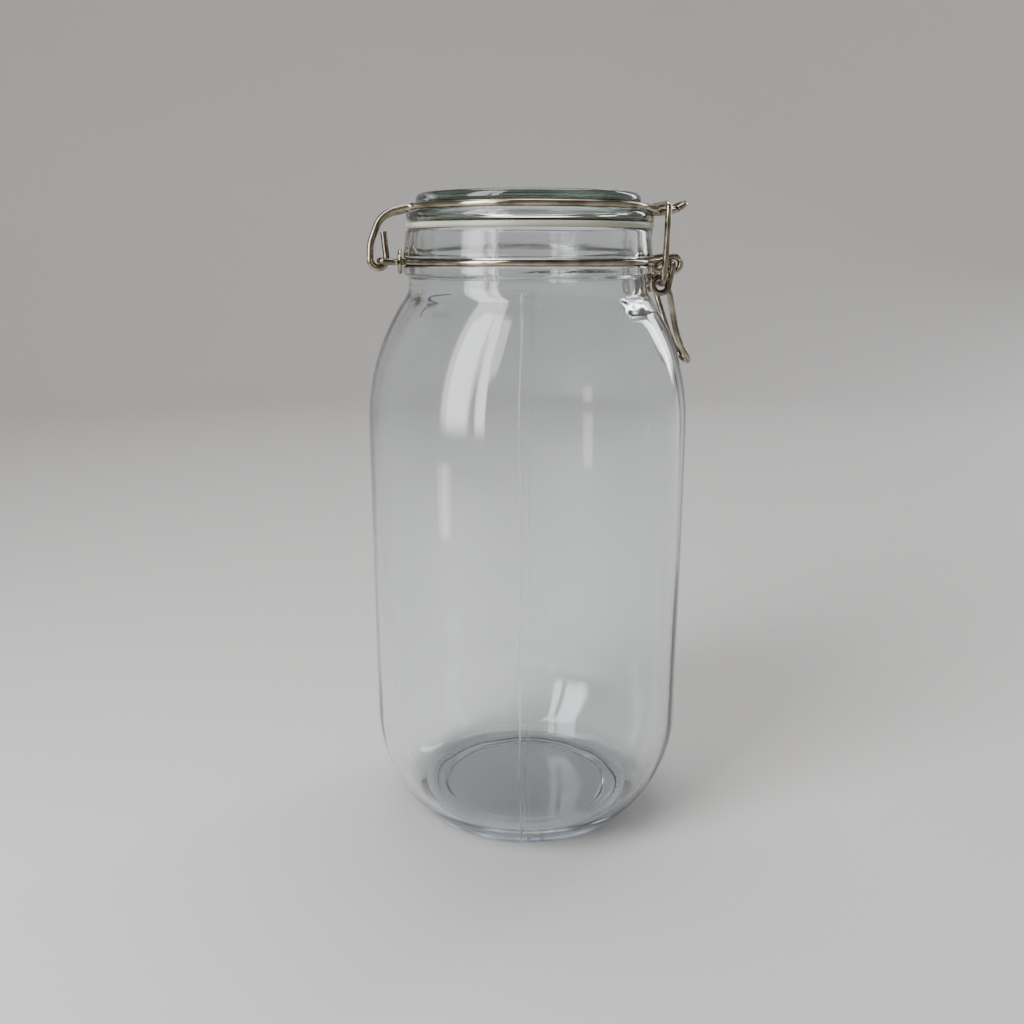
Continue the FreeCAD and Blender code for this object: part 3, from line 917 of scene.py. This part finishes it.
def glass_material(name, skin, tint, inner_tint, density, ripple_size, bump, marks):
    """Clear glass that takes its colour from its own thickness."""
    material, nodes, links, shader = new_material(name)
    shader.inputs["Base Color"].default_value = tint
    shader.inputs["Transmission Weight"].default_value = 1.0
    shader.inputs["IOR"].default_value = GLASS_IOR
    group = nodes.new("ShaderNodeGroup")
    group.node_tree = skin
    group.inputs["Ripple Size"].default_value = ripple_size
    group.inputs["Mark Amount"].default_value = marks
    add_relief(nodes, links, group.outputs["Height"], 1.0, bump, shader)
    worn = nodes.new("ShaderNodeAttribute")
    worn.attribute_name = "dull"
    dull = nodes.new("ShaderNodeMath")
    dull.operation = "MULTIPLY_ADD"
    dull.inputs[1].default_value = DULL_ROUGHNESS
    links.new(worn.outputs["Fac"], dull.inputs[0])
    links.new(group.outputs["Roughness"], dull.inputs[2])
    links.new(dull.outputs[0], shader.inputs["Roughness"])
    depth = nodes.new("ShaderNodeVolumeAbsorption")
    depth.inputs["Color"].default_value = inner_tint
    depth.inputs["Density"].default_value = density
    links.new(depth.outputs["Volume"], nodes["Material Output"].inputs["Volume"])
    return material


def rubber_material():
    """Cream rubber: cloudy, satin, faintly grained, with a little light inside."""
    material, nodes, links, shader = new_material("cream rubber")
    place = nodes.new("ShaderNodeTexCoord").outputs["Object"]
    cloud = add_noise(nodes, links, place, 55.0, 3.0)
    grain = add_noise(nodes, links, place, 2600.0, 2.0)
    add_tones(nodes, links, cloud, (0.35, 0.68), RUBBER_DARK, RUBBER_LIGHT, shader)
    add_roughness(nodes, links, cloud, (0.0, 1.0), (0.38, 0.55), shader)
    add_relief(nodes, links, grain, 0.5, 0.03 * MM, shader)
    shader.inputs["Subsurface Weight"].default_value = 0.35
    shader.inputs["Subsurface Radius"].default_value = (1.0, 0.9, 0.7)
    shader.inputs["Subsurface Scale"].default_value = 2.0 * MM
    return material


def steel_material():
    """Bright drawn wire: long fine lines along it, a warm tone, and duller patches."""
    material, nodes, links, shader = new_material("drawn steel")
    shader.inputs["Metallic"].default_value = 1.0
    around = nodes.new("ShaderNodeAttribute")
    around.attribute_name = "round"
    along = nodes.new("ShaderNodeAttribute")
    along.attribute_name = "along"
    scaled = nodes.new("ShaderNodeVectorMath")
    scaled.operation = "SCALE"
    scaled.inputs["Scale"].default_value = 5.0
    links.new(around.outputs["Vector"], scaled.inputs[0])
    slow = nodes.new("ShaderNodeMath")
    slow.operation = "MULTIPLY"
    slow.inputs[1].default_value = 140.0
    links.new(along.outputs["Fac"], slow.inputs[0])
    shift = nodes.new("ShaderNodeCombineXYZ")
    links.new(slow.outputs[0], shift.inputs["Z"])
    place = nodes.new("ShaderNodeVectorMath")
    place.operation = "ADD"
    links.new(scaled.outputs["Vector"], place.inputs[0])
    links.new(shift.outputs["Vector"], place.inputs[1])
    lines = add_noise(nodes, links, place.outputs["Vector"], 1.0, 4.0)
    spot = nodes.new("ShaderNodeTexCoord").outputs["Object"]
    patches = add_noise(nodes, links, spot, 130.0, 3.0)
    add_tones(nodes, links, patches, (0.35, 0.62), STEEL_DARK, STEEL_LIGHT, shader)
    add_roughness(nodes, links, lines, (0.3, 0.75), (0.08, 0.21), shader)
    add_relief(nodes, links, lines, 0.35, 0.02 * MM, shader)
    return material


def plain_material(name, colour, roughness):
    material, _, _, shader = new_material(name)
    shader.inputs["Base Color"].default_value = colour
    shader.inputs["Roughness"].default_value = roughness
    return material


# ---------- setting ----------

def round_backdrop(finish):
    """A pale round floor that curves up into a plain wall."""
    profile = arc(FLOOR_REACH - FLOOR_BEND, FLOOR_BEND, FLOOR_BEND, -90, 0, 6.0)
    profile.append((FLOOR_REACH, FLOOR_WALL))
    sides = FLOOR_SIDES
    points = [(0.0, 0.0, 0.0)]
    for r, z in profile:
        for angle in even_angles(sides):
            x, y = polar(r, angle)
            points.append((x, y, z))
    faces = []
    for i in range(sides):
        n = (i + 1) % sides
        faces.append((0, 1 + i, 1 + n))
        for j in range(len(profile) - 1):
            low = 1 + j * sides
            high = low + sides
            faces.append((low + n, low + i, high + i, high + n))
    mesh = bpy.data.meshes.new("floor")
    mesh.from_pydata(points, [], faces)
    mesh.polygons.foreach_set("use_smooth", [True] * len(faces))
    mesh.materials.append(finish)
    floor = bpy.data.objects.new("floor", mesh)
    bpy.context.scene.collection.objects.link(floor)


def soften_edges(data):
    """Lets an area light fade out towards its edges, as a cloth front does."""
    data.use_nodes = True
    nodes, links = data.node_tree.nodes, data.node_tree.links
    place = nodes.new("ShaderNodeNewGeometry")
    split = nodes.new("ShaderNodeSeparateXYZ")
    links.new(place.outputs["Parametric"], split.inputs[0])
    strength = None
    for side in ("X", "Y"):
        across = nodes.new("ShaderNodeMath")
        across.operation = "PINGPONG"
        across.inputs[1].default_value = 0.5
        links.new(split.outputs[side], across.inputs[0])
        dim = nodes.new("ShaderNodeMapRange")
        dim.interpolation_type = "SMOOTHSTEP"
        dim.inputs["From Max"].default_value = EDGE_FADE
        links.new(across.outputs[0], dim.inputs["Value"])
        if strength is None:
            strength = dim.outputs["Result"]
        else:
            both = nodes.new("ShaderNodeMath")
            both.operation = "MULTIPLY"
            links.new(strength, both.inputs[0])
            links.new(dim.outputs["Result"], both.inputs[1])
            strength = both.outputs[0]
    links.new(strength, nodes["Emission"].inputs["Strength"])


def soft_box(name, azimuth, distance, height, width, tall, power, colour, aim):
    """An area light that stands round the jar, turned towards a height on its axis."""
    data = bpy.data.lights.new(name, "AREA")
    data.shape = "RECTANGLE"
    data.size = width
    data.size_y = tall
    data.energy = power
    data.color = colour
    soften_edges(data)
    lamp = bpy.data.objects.new(name, data)
    lamp.visible_camera = False
    a = math.radians(azimuth)
    lamp.location = (distance * math.sin(a), -distance * math.cos(a), height)
    toward = Vector((0, 0, aim)) - lamp.location
    lamp.rotation_euler = toward.to_track_quat("-Z", "Y").to_euler()
    bpy.context.scene.collection.objects.link(lamp)


def set_camera():
    data = bpy.data.cameras.new("camera")
    data.lens = VIEW_LENS
    data.sensor_width = 36.0
    camera = bpy.data.objects.new("camera", data)
    a = math.radians(VIEW_AZIMUTH)
    x = VIEW_DISTANCE * math.sin(a) - VIEW_SIDE * math.cos(a)
    y = -VIEW_DISTANCE * math.cos(a) - VIEW_SIDE * math.sin(a)
    camera.location = (x, y, VIEW_HEIGHT)
    camera.rotation_euler = (math.radians(90 - VIEW_DOWN), 0, a)
    bpy.context.scene.collection.objects.link(camera)
    bpy.context.scene.camera = camera


def set_world():
    world = bpy.data.worlds.new("room")
    world.use_nodes = True
    background = world.node_tree.nodes["Background"]
    background.inputs["Color"].default_value = ROOM_TONE
    background.inputs["Strength"].default_value = ROOM_LIGHT
    bpy.context.scene.world = world


def main():
    skin = glass_skin_group()
    jar_glass = glass_material("jar glass", skin, JAR_TINT, JAR_INNER_TINT, density=16.0,
                               ripple_size=45.0, bump=0.02 * MM, marks=0.02)
    lid_glass = glass_material("lid glass", skin, LID_TINT, LID_INNER_TINT, density=38.0,
                               ripple_size=70.0, bump=0.005 * MM, marks=0.03)
    rubber = rubber_material()
    steel = steel_material()

    jar = jar_piece()
    jar.data.materials.append(jar_glass)
    lid = lid_piece()
    lid.data.materials.append(lid_glass)
    gasket = gasket_piece()
    gasket.data.materials.append(rubber)
    for piece, node, slot in ((jar, "jar", "jar_glass"), (lid, "lid", "lid_glass"),
                              (gasket, "gasket", "gasket_rubber")):
        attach(piece, "vessel")
        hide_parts(node)

    tree = bent_wire_tree()
    wires = (
        ("bail_wire", bail_corners(), "bail", "vessel", WIRE, False),
        ("band_wire", band_corners(), "neck_band", "vessel", WIRE, False),
        ("collar_ring", collar_corners(), "collar", "vessel", COLLAR_WIRE, True),
        ("lever_wire", lever_corners(), "lever", "lever", WIRE, False),
        ("link_wire", link_corners(), "link", "link", WIRE, False),
    )
    for name, corners, node, body, diameter, closed in wires:
        piece = wire_piece(name, corners, tree, steel, diameter, closed)
        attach(piece, body)
        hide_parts(node)

    round_backdrop(plain_material("pale floor", FLOOR_TONE, 0.6))
    for light in LIGHTS:
        soft_box(*light)
    set_world()
    set_camera()


main()
